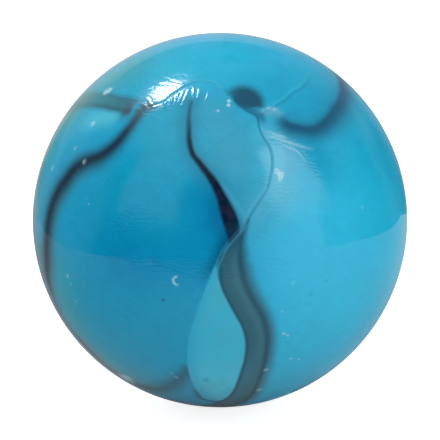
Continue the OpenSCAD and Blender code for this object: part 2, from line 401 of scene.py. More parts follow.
# Clouds in the body's glass, two of them painted light and one a painted reflection: route, reach
# in mm, colour, strength
CLOUDS = (
    # Painted light: the lower right made paler, as light through the glass makes it
    (((60, -60), (40, -25), (45, -5), (50, 12)), 6.5, (0.014, 0.48, 0.73), 1.0),
    (((95, 10), (75, 0), (80, 25), (120, -20)), 7.0, (0.003, 0.43, 0.66), 1.0),
    # Painted light: the lower right limb made paler, as the paper's bounce light makes it
    (((35, -60), (60, -48), (80, -34), (86, -22)), 2.6, (0.0, 0.60, 0.94), 0.9),
    (((25, -30), (25, -5), (30, 18)), 4.5, (0.036, 0.49, 0.745), 0.9),
    (((40, 62), (60, 50), (75, 30)), 4.0, (0.001, 0.32, 0.51), 0.9),
    (((-36, 68), (-20, 72)), 2.6, (0.034, 0.46, 0.67), 1.0),
    (((-10, 74), (30, 76)), 2.6, (0.008, 0.41, 0.62), 0.8),
    (((-26, 6), (-16, 4), (-9, 0)), 3.2, (0.001, 0.265, 0.53), 1.0),
    (((-34, 24), (-24, 30), (-20, 20)), 2.6, (0.006, 0.345, 0.56), 0.8),
    (((-76, 58), (-81, 46), (-86, 30), (-88, 8), (-84, -8)), 2.7, (0.040, 0.34, 0.41), 0.95),
    (((-59, 26), (-66, 16), (-71, 8), (-73, 0)), 1.4, (0.020, 0.295, 0.455), 0.75),
    (((-84, 42), (-89, 32), (-94, 24)), 1.2, (0.050, 0.26, 0.30), 0.6),
    (((-59, -12), (-56, -25), (-50, -36), (-40, -43)), 2.4, (0.014, 0.36, 0.49), 0.9),
    (((-11, -13), (-20, -21), (-35, -28)), 2.7, (0.015, 0.35, 0.56), 0.9),
    (((-3, 48), (3, 40), (4, 32), (7, 22)), 2.1, (0.041, 0.35, 0.525), 1.0),
    (((-25, 47), (-20, 42)), 2.2, (0.030, 0.38, 0.57), 0.8),
    # Painted reflection: a pale haze to the viewer's right of the seam
    (((21, 40), (21, 32), (19, 25)), 1.3, (0.070, 0.45, 0.64), 1.0),
    (((32, 40), (38, 32)), 1.8, (0.010, 0.30, 0.49), 0.7),
    (((-5.5, 22), (-3, 13)), 1.5, (0.0, 0.25, 0.49), 0.8),
    (((20, 50), (23, 49.5), (27, 49)), 0.34, (0.140, 0.42, 0.56), 0.55),
)
# Where the skin is rippled: route, reach in mm, strength
RIPPLES = (
    (((-38, 52), (-32, 60), (-20, 65)), 1.8, 1.7),
    (((-30, 49), (-12, 53)), 0.9, 1.2),
    (((-8, 48), (4, 44), (10, 34)), 2.6, 0.25),
    (((20, 45), (27, 38), (32, 29)), 0.9, 2.0),
    (((19, 26), (15, 20), (13, 14)), 1.3, 2.0),
    (((12, 5), (17, 4)), 0.8, 2.0),
    (((-30, 12), (-24, 18)), 1.6, 1.2),
    (((-24, -2), (-12, 1), (-3, 3), (8, 4)), 1.1, 2.4),
)
# Highlights painted along the wrinkles to the right of the seam: half width in mm, and the share of
# their length at each end over which they stay level
CREASE_WIDTH = 0.11
CREASE_END = 0.05


def store(mesh, name, kind, rows):
    mesh.attributes.new(name, kind, "POINT").data.foreach_set(
        "color" if kind == "FLOAT_COLOR" else "vector",
        np.ascontiguousarray(rows, np.float32).ravel())


def body_tint(spots):
    """The body's colour at each spot, with the clouds laid over it one by one, painted light among
    them.
    """
    colour = np.tile(np.array(BODY), (len(spots), 1))
    for route, reach, cloud, strength in CLOUDS:
        share = strength * bell(Way(route).near(spots)[0], reach)[:, None]
        colour += share * (np.array(cloud) - colour)
    return np.column_stack([colour, np.ones(len(spots))])


def knock_and_glint_tone(spots):
    """Tone of the knocks and the moon: whitish over 0, dark under it. On some knocks the whitish
    tone is a painted highlight.
    """
    total = np.zeros(len(spots))
    for azimuth, elevation, radius, tone in KNOCKS:
        total += tone * bell(distance_to(spots, azimuth, elevation), radius)
    azimuth, _, radius = MOON
    part = moon_part(spots, (azimuth + 85, 5), 0.6, -60)
    return total + bell(moon_ring(spots), radius / 2.5) * part


def ripple_strength(spots):
    return np.max([
        strength * bell(Way(route).near(spots)[0], reach) for route, reach, strength in RIPPLES
    ], axis=0)


# How strongly the highlight painted along each wrinkle right of the seam shows
def crease_highlight_strength(spots):
    crease_highlights = []
    for route in RIGHT_WRINKLES:
        away, _, _, along = Way(route).near(spots)
        swell = np.sin(np.pi * np.clip(along, CREASE_END, 1 - CREASE_END))
        crease_highlights.append(bell(away, CREASE_WIDTH) * swell)
    return np.max(crease_highlights, axis=0)


def paint_fields(mesh, spots):
    """Stores where each point lies against each streak's line, the body's colour with its painted
    light, and how far the knocks (some of them painted highlights), the ripples and the highlights
    painted along the wrinkles reach."""
    for name, route in STREAKS.items():
        _, right, half, along = Way(route).near(spots)
        store(mesh, name, "FLOAT_VECTOR", np.stack([right, half, along], 1))
    store(mesh, "body_tint", "FLOAT_COLOR", body_tint(spots))
    marks = [knock_and_glint_tone(spots), ripple_strength(spots), crease_highlight_strength(spots)]
    store(mesh, "skin", "FLOAT_VECTOR", np.stack(marks, 1))


# ---------------------------------------------------------------- material

GLASS_ROUGHNESS = 0.04
GLASS_IOR = 1.5
# How far the veins stray, in mm from the one side to the other
WOBBLE = 0.12
# Slant of the strands in the body's glass in radians, and their stretch
STRAND_SLANT = (0, 0.5, 0)
STRAND_STRETCH = (1.2, 1.2, 0.25)
# Level of the body's colour, and how much the mottle and the strands change it
BODY_LEVEL = 0.97
MOTTLE_CHANGE = 0.2
STRAND_CHANGE = 0.06
# Heights of the skin's slow swell and of its fine ripples, in mm
SWELL_HEIGHT = 0.0014
RIPPLE_HEIGHT = 0.0015
# Phase of the ripples in radians: for each mm of height, and for the noise that bends them
RIPPLE_PITCH = 24.0
RIPPLE_BEND = 22.0

SPECK_PALE = (0.16, 0.58, 0.72)
SPECK_DARK = (0.0, 0.16, 0.28)
# Whitish knocks, with painted highlights on some of them
KNOCK_WHITE_AND_GLINT = (0.40, 0.68, 0.76)
KNOCK_DARK = (0.0, 0.10, 0.16)
# Highlights painted along the wrinkles right of the seam
CREASE_HIGHLIGHT = (0.36, 0.68, 0.80)

SHOULDER_PALE = (0.075, 0.50, 0.66)
SMOKE_START = (0.075, 0.22, 0.28)
SMOKE_FRONT = (0.036, 0.175, 0.235)
SMOKE_SIDE = (0.032, 0.235, 0.29)
SMOKE_BACK = (0.052, 0.215, 0.245)
SMOKE_LOWER_EDGE = (0.018, 0.115, 0.165)
SMOKE_UPPER_EDGE = (0.026, 0.110, 0.150)
SHOULDER_STAIN = (0.045, 0.090, 0.120)

CRESCENT_SHADE = (0.0, 0.10, 0.20)
CRESCENT_DARK = (0.0, 0.064, 0.145)
SPOT_DARK = (0.002, 0.066, 0.130)

MIDDLE_SHADE_UPPER = (0.030, 0.11, 0.18)
MIDDLE_SHADE_LOWER = (0.002, 0.08, 0.18)
MIDDLE_DEEP = (0.0, 0.13, 0.32)
MIDDLE_RIM = (0.085, 0.42, 0.60)
MIDDLE_INK = (0.003, 0.006, 0.026)
MIDDLE_INK_REDDISH = (0.014, 0.014, 0.034)

LEFT_HAZE = (0.05, 0.24, 0.28)
LEFT_HAZE_AT_LIMB = (0.06, 0.15, 0.17)
LEFT_INK_START = (0.050, 0.105, 0.140)
LEFT_INK = (0.0, 0.008, 0.030)
LEFT_INK_LOWER = (0.020, 0.062, 0.080)

DROP_TOP = (0.048, 0.44, 0.60)
DROP_PALE = (0.040, 0.485, 0.70)
DROP_FOOT = (0.080, 0.65, 0.86)
DROP_CLOUD = (0.090, 0.43, 0.57)
DROP_LEFT_EDGE = (0.020, 0.42, 0.68)
DROP_TAN_RIM = (0.16, 0.40, 0.48)
DROP_OUTLINE = (0.005, 0.09, 0.14)

SLATE_TOP = (0.017, 0.088, 0.145)
SLATE_FRONT = (0.030, 0.130, 0.187)
SLATE_LOWER = (0.039, 0.185, 0.265)
SLATE_MIDDLE = (0.043, 0.168, 0.225)
SLATE_STRAND = (0.016, 0.085, 0.140)
SLATE_HEAD = (0.008, 0.055, 0.095)
SLATE_INNER_EDGE = (0.012, 0.080, 0.130)

SEAM_SHADE = (0.001, 0.085, 0.165)
# A painted hazy reflection to the viewer's right of the seam
SEAM_HAZY_REFLECTION = (0.10, 0.50, 0.68)
# A painted highlight on the seam's lip
SEAM_LIP_HIGHLIGHT = (0.09, 0.46, 0.65)
# Lines along a seam: mm to the right of its route, fading width to the left and to the
# right, start and end as shares along it, softness of these, strength, colour
SEAM_LINES = (
    # Shade on the viewer's left from the middle vein's end on, and a pale line higher up
    (0.15, 0.1, 0.5, 0.6, 0.75, 0.03, 0.5, (0.0, 0.05, 0.11)),
    (0.25, 0.1, 0.1, 0.44, 0.6, 0.03, 0.4, (0.09, 0.45, 0.64)),
    # Painted highlight over the arch, on the lip
    (-0.1, 0.1, 0.07, 0.12, 0.19, 0.02, 0.25, (0.12, 0.52, 0.68)),
    # Painted shade in the groove itself, darker in its upper part
    (0.02, 0.07, 0.07, 0.27, 0.42, 0.03, 0.52, (0.0, 0.08, 0.16)),
    (0.02, 0.07, 0.07, 0.42, 0.68, 0.03, 0.35, (0.0, 0.12, 0.24)),
)
# Painted shade in the branch's groove, and a painted highlight over it
BRANCH_LINES = (
    (0.0, 0.08, 0.12, 0.06, 0.76, 0.12, 0.3, (0.0, 0.12, 0.24)),
    (-0.2, 0.12, 0.1, 0.06, 0.76, 0.12, 0.22, (0.05, 0.50, 0.66)),
)


class Graph:
    """Short calls that add nodes to a material's tree and join them."""

    def __init__(self, name):
        self.material = bpy.data.materials.new(name)
        self.material.use_nodes = True
        self.tree = self.material.node_tree
        self.shader = self.tree.nodes["Principled BSDF"]

    def add(self, kind, inputs=(), **settings):
        node = self.tree.nodes.new(kind)
        for key, value in settings.items():
            setattr(node, key, value)
        for key, value in dict(inputs).items():
            self.put(node.inputs[key], value)
        return node

    def put(self, socket, value):
        if isinstance(value, bpy.types.NodeSocket):
            self.tree.links.new(value, socket)
        elif isinstance(value, tuple) and len(value) == 3 and socket.type == "RGBA":
            socket.default_value = value + (1,)
        else:
            socket.default_value = value

    def math(self, operation, a, b=0.0, c=0.0):
        return self.add("ShaderNodeMath", {0: a, 1: b, 2: c}, operation=operation).outputs[0]

    def times(self, *values):
        product = values[0]
        for value in values[1:]:
            product = self.math("MULTIPLY", product, value)
        return product

    def between(self, share, low, high):
        """The level that lies this share of the way from low to high."""
        return self.math("MULTIPLY_ADD", share, high - low, low)

    def rise(self, value, low, high):
        """0 at low and 1 at high, with soft ends; falls where low is over high."""
        return self.add(
            "ShaderNodeMapRange", {"Value": value, "From Min": low, "From Max": high},
            interpolation_type="SMOOTHSTEP").outputs["Result"]

    def edge(self, value, soft):
        """0 well below zero and 1 well above, half way at zero."""
        return self.rise(self.math("DIVIDE", value, soft), -1.0, 1.0)

    def span(self, value, start, end, soft):
        """1 between start and end, 0 beyond them."""
        return self.times(
            self.rise(value, start - soft, start + soft), self.rise(value, end + soft, end - soft))

    def bell(self, value, left, right):
        """1 at zero, fading over the left width below it and the right width above it."""
        ratio = self.math("MAXIMUM", self.math("DIVIDE", value, right),
                          self.math("DIVIDE", self.times(value, -1.0), left))
        return self.math("EXPONENT", self.times(ratio, ratio, -1.0))

    def mix(self, share, a, b):
        node = self.add("ShaderNodeMix", data_type="RGBA")
        for socket, value in zip((node.inputs[0], node.inputs[6], node.inputs[7]), (share, a, b)):
            self.put(socket, value)
        return node.outputs[2]

    def lay(self, under, tint, *shares):
        """The colour under, covered by the tint by the product of the shares."""
        return self.mix(self.times(*shares), under, tint)

    def attribute(self, name):
        return self.add("ShaderNodeAttribute", attribute_name=name)

    def parts(self, vector):
        return self.add("ShaderNodeSeparateXYZ", {0: vector}).outputs

    def noise(self, place, scale, detail=2.0, roughness=0.5):
        return self.add(
            "ShaderNodeTexNoise",
            {"Vector": place, "Scale": scale, "Detail": detail, "Roughness": roughness}
        ).outputs["Fac"]


class Streak:
    """A streak's field in the shader: mm to the right of its line, half width, share along."""

    def __init__(self, graph, name, wobble=0.0):
        self.graph = graph
        parts = graph.parts(graph.attribute(name).outputs["Vector"])
        self.right = graph.math("ADD", parts[0], wobble)
        self.half = parts[1]
        self.along = parts[2]
        self.near = graph.rise(self.half, -0.4, 0.05)

    def rise(self, low, high):
        """0 at the one share along the line and 1 at the other."""
        return self.graph.rise(self.along, low, high)

    def part(self, start, end, soft):
        """1 between two shares along the line, 0 beyond them."""
        return self.graph.span(self.along, start, end, soft)

    def at(self, share):
        """Offset from the place that lies this share of the half width off the line."""
        return self.graph.math("SUBTRACT", self.right, self.graph.times(self.half, share))

    def band(self, low, high, soft_low, soft_high):
        """Between two shares of the half width, with a softness in mm at each edge."""
        graph = self.graph
        over = graph.edge(self.at(low), soft_low)
        under = graph.edge(graph.times(self.at(high), -1.0), soft_high)
        return graph.times(over, under, self.near)

    def line(self, share, left, right):
        """A soft line at a share of the half width, with a width in mm on each side."""
        return self.graph.times(self.graph.bell(self.at(share), left, right), self.near)

    def trace(self, offset, left, right):
        """A soft line at an offset in mm from the route, with a width in mm on each side."""
        return self.graph.bell(self.graph.math("SUBTRACT", self.right, offset), left, right)

    def shades(self, first, *changes):
        """A colour that changes along the line; each change is (from, to, next colour)."""
        colour = first
        for start, end, following in changes:
            colour = self.graph.mix(self.rise(start, end), colour, following)
        return colour


def paint_shoulder(graph, wobble, colour):
    """The pale drop on the left shoulder, and the smoky band over it with its brown stain."""
    drop = Streak(graph, "shoulder_drop", wobble)
    colour = graph.lay(colour, SHOULDER_PALE, drop.line(-0.2, 0.75, 0.8),
                       drop.rise(0.9, 0.45), drop.rise(-0.05, 0.3), 0.88)
    band = Streak(graph, "shoulder_band", wobble)
    smoke = band.shades(SMOKE_START, (0.02, 0.14, SMOKE_FRONT), (0.2, 0.42, SMOKE_SIDE))
    smoke = graph.lay(smoke, SMOKE_LOWER_EDGE, band.line(-0.75, 0.2, 0.2), 0.75)
    smoke = graph.lay(smoke, SMOKE_UPPER_EDGE, band.line(0.85, 0.15, 0.15), 0.7)
    smoke = graph.lay(smoke, SMOKE_BACK, band.rise(0.3, 0.5))
    across = graph.math("DIVIDE", band.right, band.half)
    slanted = graph.math("MULTIPLY_ADD", across, 0.03, band.along)
    colour = graph.lay(colour, smoke, band.band(-1.05, 1.05, 0.28, 0.38),
                       graph.rise(slanted, 0.005, 0.06))
    return graph.lay(colour, SHOULDER_STAIN, band.line(-0.75, 0.5, 0.5),
                     band.part(0.03, 0.14, 0.04), 0.85)


def paint_crescent(graph, wobble, colour):
    """A dark line that fades further on its lower side, and a faint shade inside its bend."""
    streak = Streak(graph, "crescent", wobble)
    colour = graph.lay(colour, CRESCENT_SHADE, streak.line(-0.8, 1.4, 0.6),
                       streak.rise(0.0, 0.05), 0.32)
    lower_width = graph.between(streak.rise(0.2, 0.45), 0.8, 1.1)
    strength = graph.between(streak.rise(0.0, 0.09), 0.15, 0.9)
    return graph.lay(colour, CRESCENT_DARK, streak.line(-0.5, 0.34, lower_width), strength)


def paint_spot(graph, wobble, colour):
    """A dark spot that is palest at its left end and soft along its upper edge."""
    streak = Streak(graph, "spot", wobble)
    strength = graph.between(streak.rise(0.05, 0.4), 0.72, 0.97)
    return graph.lay(colour, SPOT_DARK, streak.band(-1.15, 1.3, 0.45, 0.3), strength)


def paint_middle_vein(graph, wobble, colour, uneven):
    """An ink core in a broad shade, deep blue on its left, with a thin pale rim on its right."""
    streak = Streak(graph, "middle_vein", wobble)
    shade = streak.shades(MIDDLE_SHADE_UPPER, (0.35, 0.6, MIDDLE_SHADE_LOWER))
    colour = graph.lay(colour, shade, streak.line(0.0, 0.6, 0.8), 0.38)
    colour = graph.lay(colour, MIDDLE_DEEP, streak.line(1.5, 0.4, 0.7), streak.rise(0.5, 0.7), 0.6)
    colour = graph.lay(colour, MIDDLE_RIM, streak.line(-1.9, 0.1, 0.14),
                       streak.part(0.55, 0.92, 0.06), 0.4)
    reddish = graph.times(streak.rise(0.45, 0.62), graph.rise(uneven, 0.38, 0.6))
    ink = graph.mix(reddish, MIDDLE_INK, MIDDLE_INK_REDDISH)
    strength = graph.between(streak.rise(0.02, 0.3), 0.52, 0.97)
    return graph.lay(colour, ink, streak.band(-1.1, 1.12, 0.13, 0.16), strength)


def paint_left_vein(graph, wobble, colour):
    """Ink that fades out to both sides, with a haze beside it, and brownish under the ball.
    The limb side is the one to the right of the route."""
    streak = Streak(graph, "left_vein", wobble)
    colour = graph.lay(colour, LEFT_HAZE, streak.line(-1.3, 0.6, 0.6),
                       streak.part(0.25, 0.9, 0.06), 0.35)
    colour = graph.lay(colour, LEFT_HAZE_AT_LIMB, streak.line(1.6, 0.6, 1.0),
                       streak.part(0.55, 0.68, 0.03), 0.6)
    swell = streak.part(0.16, 0.6, 0.08)
    limb_width = graph.math("MULTIPLY_ADD", swell, 0.12,
                            graph.math("MULTIPLY_ADD", streak.half, 0.62, 0.32))
    front_width = graph.math("MULTIPLY_ADD", swell, 0.2, limb_width)
    narrow = graph.between(streak.part(0.6, 0.86, 0.06), 1.0, 0.7)
    spread = graph.bell(
        streak.right, graph.times(front_width, narrow), graph.times(limb_width, narrow))
    fainter = graph.between(streak.rise(0.78, 0.93), 0.95, 0.65)
    lighter = graph.between(streak.part(0.63, 0.7, 0.02), 1.0, 0.6)
    ink = streak.shades(LEFT_INK_START, (0.03, 0.16, LEFT_INK), (0.55, 0.8, LEFT_INK_LOWER))
    return graph.lay(colour, ink, spread, streak.near, fainter, lighter)


def paint_drop(graph, colour, place_mm):
    """Pale cloudy glass, bluer along its left edge, with a thin tan rim on its right and a
    dark outline around its foot."""
    streak = Streak(graph, "drop")
    outside = graph.math("SUBTRACT", graph.math("ABSOLUTE", streak.right), streak.half)
    outline = graph.bell(graph.math("SUBTRACT", outside, 0.15), 0.2, 0.25)
    colour = graph.lay(colour, DROP_OUTLINE, outline, streak.rise(0.86, 0.95),
                       graph.rise(streak.half, -1.0, -0.6), 0.7)
    pale = streak.shades(DROP_TOP, (0.15, 0.5, DROP_PALE), (0.55, 0.9, DROP_FOOT))
    cloudy = graph.rise(graph.noise(place_mm, 0.6, 4, 0.65), 0.42, 0.62)
    pale = graph.lay(pale, DROP_CLOUD, cloudy, 0.3)
    pale = graph.lay(pale, DROP_LEFT_EDGE, streak.line(0.9, 0.5, 0.5), 0.6)
    pale = graph.lay(pale, DROP_TAN_RIM, streak.line(-1.0, 0.2, 0.16), 0.35)
    return graph.lay(colour, pale, streak.band(-1.0, 1.0, 0.1, 0.1))


def paint_ribbon(graph, colour):
    """Slate glass between a sharp inner edge and a soft outer one, with strands in it."""
    streak = Streak(graph, "wide_ribbon")
    slate = streak.shades(SLATE_TOP, (0.09, 0.25, SLATE_FRONT), (0.42, 0.52, SLATE_LOWER))
    slate = graph.lay(slate, SLATE_MIDDLE, streak.line(-0.1, 0.25, 0.35), streak.rise(0.1, 0.26))
    slate = graph.lay(slate, SLATE_STRAND, streak.line(-0.5, 0.2, 0.16), 0.8)
    slate = graph.lay(slate, SLATE_HEAD, streak.line(-0.8, 0.35, 0.2), streak.rise(0.16, 0.08), 0.8)
    slate = graph.lay(slate, SLATE_INNER_EDGE, streak.line(1.0, 0.14, 0.14), 0.75)
    outer_soft = graph.between(streak.rise(0.02, 0.2), 0.16, 0.52)
    return graph.lay(colour, slate, streak.band(-1.12, 1.12, outer_soft, 0.13))


def paint_lines(streak, lines, colour):
    """Lays the lines of a table along a streak, one over the other."""
    for offset, left, right, start, end, soft, strength, tint in lines:
        colour = streak.graph.lay(colour, tint, streak.trace(offset, left, right),
                                  streak.part(start, end, soft), strength)
    return colour


def paint_seam(graph, colour):
    """Shade above the seam beside the spot, a painted hazy reflection along it, a painted highlight
    on its lip, and the lines of its groove and of its branch, with painted shade in the grooves."""
    seam = Streak(graph, "seam")
    colour = graph.lay(colour, SEAM_SHADE, graph.span(seam.right, -0.5, 0.05, 0.2),
                       seam.part(0.22, 0.32, 0.02), 0.65)
    # Painted hazy reflection beside the seam, on the viewer's right
    colour = graph.lay(colour, SEAM_HAZY_REFLECTION, graph.span(seam.right, -0.9, -0.05, 0.1),
                       seam.part(0.36, 0.56, 0.04), 0.3)
    # Painted highlight on the lip beside the groove, fainter further down
    fainter = graph.between(seam.rise(0.5, 0.58), 0.5, 0.3)
    colour = graph.lay(colour, SEAM_LIP_HIGHLIGHT, seam.trace(-0.13, 0.1, 0.08),
                       seam.part(0.33, 0.75, 0.03), fainter)
    colour = paint_lines(seam, SEAM_LINES, colour)
    return paint_lines(Streak(graph, "branch"), BRANCH_LINES, colour)


def paint_body(graph, place_mm, colour):
    """Mottle and slanting strands in the body's glass, and fine specks of dirt and scuffs."""
    mottle = graph.noise(place_mm, 0.9, 4, 0.6)
    slanted = graph.add(
        "ShaderNodeMapping",
        {"Vector": place_mm, "Rotation": STRAND_SLANT, "Scale": STRAND_STRETCH},
        vector_type="TEXTURE").outputs[0]
    strands = graph.rise(graph.noise(slanted, 1.5, 3, 0.6), 0.3, 0.7)
    centred = graph.math("SUBTRACT", mottle, 0.5)
    shade = graph.math("MULTIPLY_ADD", centred, MOTTLE_CHANGE, BODY_LEVEL)
    shade = graph.math("MULTIPLY_ADD", strands, STRAND_CHANGE, shade)
    colour = graph.add(
        "ShaderNodeVectorMath", {0: colour, 1: (1, 1, 1), "Scale": shade},
        operation="SCALE").outputs[0]
    specks = graph.noise(place_mm, 4.5, 2, 0.6)
    colour = graph.lay(colour, SPECK_PALE, graph.rise(specks, 0.70, 0.76), 0.35)
    return graph.lay(colour, SPECK_DARK, graph.rise(specks, 0.28, 0.23), 0.3)


def paint_marks(graph, place_mm, knock_and_glint, crease_highlight, colour):
    """Knocks, whitish or dark, some whitish ones being painted highlights, and highlights painted
    along the wrinkles beside the seam.
    """
    grain = graph.noise(place_mm, 9.0, 2)
    broken = graph.between(graph.rise(grain, 0.3, 0.52), 0.3, 1.0)
    # Whitish knocks, some of them painted highlights
    colour = graph.lay(colour, KNOCK_WHITE_AND_GLINT, graph.rise(knock_and_glint, 0.1, 1.1), broken, 0.85)
    # Painted highlights along the wrinkles right of the seam
    colour = graph.lay(colour, CREASE_HIGHLIGHT, crease_highlight, broken, 0.5)
    return graph.lay(colour, KNOCK_DARK, graph.rise(knock_and_glint, -0.1, -0.7), 0.6)


def rippled_normal(graph, place_mm, strength):
    """The skin's slow swell, and level ripples as strong as the field of strength says."""
    swell = graph.times(graph.noise(place_mm, 1.0, 2), SWELL_HEIGHT)
    bend = graph.noise(place_mm, 0.9, 3, 0.55)
    phase = graph.math("MULTIPLY_ADD", bend, RIPPLE_BEND,
                       graph.times(graph.parts(place_mm)[2], RIPPLE_PITCH))
    ripples = graph.times(graph.math("SINE", phase), strength, RIPPLE_HEIGHT)
    height = graph.times(graph.math("ADD", swell, ripples), MM)
    return graph.add(
        "ShaderNodeBump", {"Height": height, "Strength": 1.0, "Distance": 1.0}).outputs[0]


def swirled_glass():
    graph = Graph("swirled_glass")
    place = graph.add("ShaderNodeTexCoord").outputs["Object"]
    place_mm = graph.add(
        "ShaderNodeVectorMath", {0: place, 1: (1 / MM,) * 3}, operation="MULTIPLY").outputs[0]
    wobble = graph.times(
        graph.math("SUBTRACT", graph.noise(place_mm, 0.7, 2), 0.5), WOBBLE)
    knock_and_glint, ripple, crease_highlight = graph.parts(graph.attribute("skin").outputs["Vector"])

    colour = graph.attribute("body_tint").outputs["Color"]
    colour = paint_body(graph, place_mm, colour)
    colour = paint_shoulder(graph, wobble, colour)
    colour = paint_crescent(graph, wobble, colour)
    colour = paint_spot(graph, wobble, colour)
    colour = paint_middle_vein(graph, wobble, colour, graph.noise(place_mm, 2.3, 2))
    colour = paint_left_vein(graph, wobble, colour)
    colour = paint_drop(graph, colour, place_mm)
    colour = paint_ribbon(graph, colour)
    colour = paint_seam(graph, colour)
    colour = paint_marks(graph, place_mm, knock_and_glint, crease_highlight, colour)

    graph.put(graph.shader.inputs["Base Color"], colour)
    graph.shader.inputs["Roughness"].default_value = GLASS_ROUGHNESS
    graph.shader.inputs["IOR"].default_value = GLASS_IOR
    graph.put(graph.shader.inputs["Normal"], rippled_normal(graph, place_mm, ripple))
    return graph.material


# ---------------------------------------------------------------- the marble

def make_marble():
    mesh, spots = make_mesh("swirled_marble")
    paint_fields(mesh, spots)
    marble = bpy.data.objects.new("swirled_marble", mesh)
    bpy.context.scene.collection.objects.link(marble)
    marble.data.materials.append(swirled_glass())
    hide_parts("marble")
    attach(marble, "root")


# ---------------------------------------------------------------- studio

# Tone of the floor's paper, and its own light that lifts it to white for the camera alone
PAPER_TONE = 0.52
PAPER_LIFT = 0.83
# Outline of the pale paper under the marble, as its gloss shows it, in mm
PAPER = (
    (-47, -62), (-28, -66), (0, -58), (40, -61), (80, -60), (103, -42), (98, -10),
    (70, 20), (45, 45), (-43, 40), (-52, 20), (-61, -5), (-63, -24), (-59, -42),
)
# Level of the paper in the gloss: all over, what its right and its left add, and what the
# place near the ball adds or, on its right, takes away
PAPER_GLOW = 0.28
PAPER_GLOW_RIGHT = 0.26
PAPER_GLOW_LEFT = 0.08
PAPER_GLOW_NEAR = 0.09
PAPER_SHADE_NEAR = 0.15
# Share of the paper's level that is left right under the ball
PAPER_UNDER = 0.25
# Where these set in, in mm from the ball's middle: middle and width of each ramp, and the
# reach of the near part
PAPER_RIGHT_RAMP = (18, 30)
PAPER_LEFT_RAMP = (30, 30)
PAPER_SHADE_RAMP = (3, 8)
PAPER_UNDER_RAMP = (6.5, 6)
PAPER_NEAR_REACH = 12

ROOM_RADIUS = 2.0
# The dome has one step for each degree
DOME_TURNS = 360
DOME_BOTTOM = -10
DOME_RINGS = 100
# Steps of each side of the paper's outline, and rings of the meshes that lie on the floor
PAPER_STEPS = 20
CARPET_RINGS = 24
# How many times as large the paper's last ring is as its first
PAPER_GROWTH = 20
# Height of those meshes over the floor, in mm
CARPET_LIFT = 0.01

# Patches of light or shade in the room, as the gloss shows them: azimuth and elevation
# from and to, softness of the left, right, lower and upper edges, all in degrees, level.
# Each is laid over the base level and over those before it.
ROOM_BASE = 0.3
ROOM_PATCHES = (
    ((-180, 180), (45, 91), (1, 1, 25, 1), 0.35),
    ((-85, 90), (-30, 42), (25, 25, 1, 14), 0.015),
    ((78, 128), (-30, 22), (20, 20, 1, 14), 0.11),
    ((-68, -27), (13, 47), (8, 10, 14, 10), 0.40),
    ((16, 64), (-30, 26), (12, 6, 1, 12), 0.56),
    ((37, 74), (18, 54), (7, 7, 26, 8), 1.5),
    ((40, 75), (38, 54), (8, 12, 12, 8), 2.2),
    ((130, 154), (-14, 8), (16, 16, 3, 12), 0.09),
    ((100, 175), (-30, -13), (20, 10, 1, 2), 0.22),
    ((-135, -80), (-14, 14), (8, 15, 3, 12), 0.2),
    ((170, 181), (-12, 21), (8, 1, 6, 5), 0.42),
    ((-181, -150), (-12, 21), (1, 20, 6, 5), 0.5),
    ((-181, -150), (21, 50), (1, 20, 5, 10), 0.24),
    ((165, 181), (21, 50), (8, 1, 5, 10), 0.18),
    ((-156, -138), (-10, 3), (8, 8, 4, 6), 0.16),
)
# Level of the plain light from all round, and the lamps' distance in m
WORLD_FILL = 0.78
LAMP_DISTANCE = 0.6
KEY_PLACE = (-131, 59)
# Lamps: name, place, width in m, power in W
LAMPS = (
    ("key", KEY_PLACE, 0.25, 0.8),
    ("window", (50, 18), 0.5, 1.2),
    ("left_rim", (-150, 15), 0.4, 3.0),
    ("right_rim", (150, 15), 0.4, 1.5),
)
# The key lamp's image in the gloss and the halo round it: reach in degrees and level
KEY_SPREAD = 6.8
KEY_GLOW = 24
KEY_HALO = 12
KEY_HALO_GLOW = 1.7


def glossy_only(obj):
    obj.visible_camera = False
    obj.visible_diffuse = False
    obj.visible_shadow = False
    obj.visible_transmission = False


def make_stage_mesh(name, verts, faces, material):
    mesh = bpy.data.meshes.new(name)
    mesh.from_pydata(verts, [], faces)
    mesh.materials.append(material)
    obj = bpy.data.objects.new(name, mesh)
    bpy.context.scene.collection.objects.link(obj)
    return obj


def ramp(value, middle, width):
    """Rises softly from 0 to 1 over a width about its middle."""
    t = np.clip((value - middle) / width + 0.5, 0, 1)
    return t * t * (3 - 2 * t)


def flat_bell(distance, width):
    """A bell with a flatter top and a steeper side."""
    return np.exp(-(distance / width) ** 4)


def room_glow(places):
    """Level of the light that comes from each place in the room."""
    azimuth = np.degrees(np.arctan2(places[:, 0], -places[:, 1]))
    elevation = np.degrees(np.arcsin(places[:, 2] / np.linalg.norm(places, axis=1)))
    glow = np.full(len(places), ROOM_BASE)
    for (left, right), (low, high), soft, level in ROOM_PATCHES:
        share = ramp(azimuth, left, soft[0]) * ramp(-azimuth, -right, soft[1])
        if right - left >= 360:  # a patch that goes all round has no left or right edge
            share = 1.0
        share = share * ramp(elevation, low, soft[2]) * ramp(-elevation, -high, soft[3])
        glow += share * (level - glow)
    away = np.degrees(np.arccos(np.clip(unit(places) @ direction(*KEY_PLACE), -1, 1)))
    glow += KEY_HALO_GLOW * flat_bell(away, KEY_HALO)
    return glow + KEY_GLOW * flat_bell(away, KEY_SPREAD)


def paper_glow(places):
    """The paper is brightest to the right, where the window lights it, and dark right
    under the ball."""
    x = places[:, 0] / MM
    near = np.hypot(places[:, 0], places[:, 1]) / MM
    right = ramp(x, *PAPER_RIGHT_RAMP)
    left = ramp(-x, *PAPER_LEFT_RAMP)
    glow = PAPER_GLOW + PAPER_GLOW_RIGHT * right + PAPER_GLOW_LEFT * left
    shaded = PAPER_SHADE_NEAR * ramp(x, *PAPER_SHADE_RAMP)
    glow += bell(near, PAPER_NEAR_REACH) * (PAPER_GLOW_NEAR - shaded)
    return glow * (PAPER_UNDER + (1 - PAPER_UNDER) * ramp(near, *PAPER_UNDER_RAMP))


